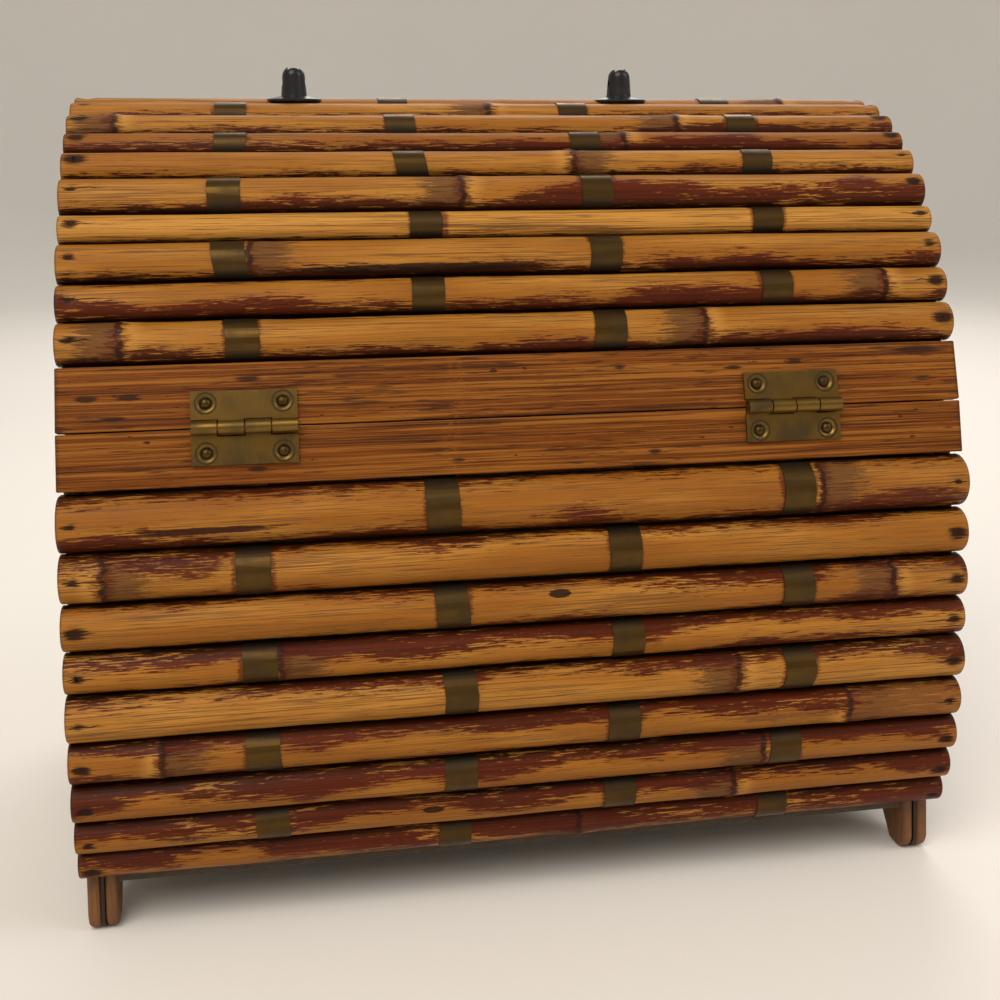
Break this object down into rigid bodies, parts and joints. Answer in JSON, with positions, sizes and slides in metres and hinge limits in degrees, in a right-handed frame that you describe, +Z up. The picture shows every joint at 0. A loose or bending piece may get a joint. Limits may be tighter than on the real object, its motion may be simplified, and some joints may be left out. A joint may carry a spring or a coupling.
{
  "type": "trinket box",
  "caption": "Domed box of split canes over wooden end panels, with woven brass ribbons, hinged lid, bail handle and hook catch.",
  "frame": {"origin": "on the table plane under the middle of the box", "axes": "+Z up, +X along the canes, +Y to the hinged back"},
  "size_m": [0.23, 0.1538, 0.2188],
  "materials": {
    "lid_cane": "satin varnish",
    "body_cane": "satin varnish",
    "slat": "matte stain",
    "panel": "bare plywood",
    "board": "bare plywood",
    "ribbon": "tarnished",
    "nail": "dark",
    "handle_black": "semi-gloss",
    "catch_brass": "tarnished",
    "screw_brass": "tarnished",
    "hinge_brass": "tarnished"
  },
  "bodies": {
    "box": {"body_cane_back_1": "body_cane", "body_cane_back_2": "body_cane", "body_cane_back_3": "body_cane", "body_cane_back_4": "body_cane", "body_cane_back_5": "body_cane", "body_cane_back_6": "body_cane", "body_cane_back_7": "body_cane", "body_cane_back_8": "body_cane", "body_cane_back_9": "body_cane", "body_cane_front_1": "body_cane", "body_cane_front_2": "body_cane", "body_cane_front_3": "body_cane", "body_cane_front_4": "body_cane", "body_cane_front_5": "body_cane", "body_cane_front_6": "body_cane", "body_cane_front_7": "body_cane", "body_cane_front_8": "body_cane", "body_cane_front_9": "body_cane", "body_end_panel_left": "panel", "body_end_panel_right": "panel", "body_hinge_leaves": "hinge_brass", "body_hinge_screws": "screw_brass", "body_nails": "nail", "body_ribbons": "ribbon", "body_slat_back": "slat", "body_slat_front": "slat", "bottom_board": "board", "hinge_pins": "hinge_brass", "catch_stud": "catch_brass"},
    "lid": {"lid_cane_back_1": "lid_cane", "lid_cane_back_2": "lid_cane", "lid_cane_back_3": "lid_cane", "lid_cane_back_4": "lid_cane", "lid_cane_back_5": "lid_cane", "lid_cane_back_6": "lid_cane", "lid_cane_back_7": "lid_cane", "lid_cane_back_8": "lid_cane", "lid_cane_back_9": "lid_cane", "lid_cane_crest": "lid_cane", "lid_cane_front_1": "lid_cane", "lid_cane_front_2": "lid_cane", "lid_cane_front_3": "lid_cane", "lid_cane_front_4": "lid_cane", "lid_cane_front_5": "lid_cane", "lid_cane_front_6": "lid_cane", "lid_cane_front_7": "lid_cane", "lid_cane_front_8": "lid_cane", "lid_cane_front_9": "lid_cane", "lid_end_panel_left": "panel", "lid_end_panel_right": "panel", "lid_hinge_leaves": "hinge_brass", "lid_hinge_screws": "screw_brass", "lid_nails": "nail", "lid_ribbons": "ribbon", "lid_slat_back": "slat", "lid_slat_front": "slat", "handle_posts": "handle_black", "catch_screw": "catch_brass"},
    "handle": {"bail_handle": "handle_black"},
    "hook": {"catch_hook": "catch_brass"}
  },
  "joints": [
    {"name": "lid_hinge", "type": "hinge", "parent": "box", "child": "lid", "pos_m": [0, 0.06884, 0.13052], "axis": [-1, 0, 0], "range_deg": [0, 165]},
    {"name": "handle_swing", "type": "hinge", "parent": "lid", "child": "handle", "pos_m": [0, 0, 0.21445], "axis": [-1, 0, 0], "range_deg": [0, 105]},
    {"name": "hook_turn", "type": "hinge", "parent": "lid", "child": "hook", "pos_m": [0, -0.06495, 0.13802], "axis": [0, -0.9587, 0.2843], "range_deg": [-90, 0]}
  ]
}
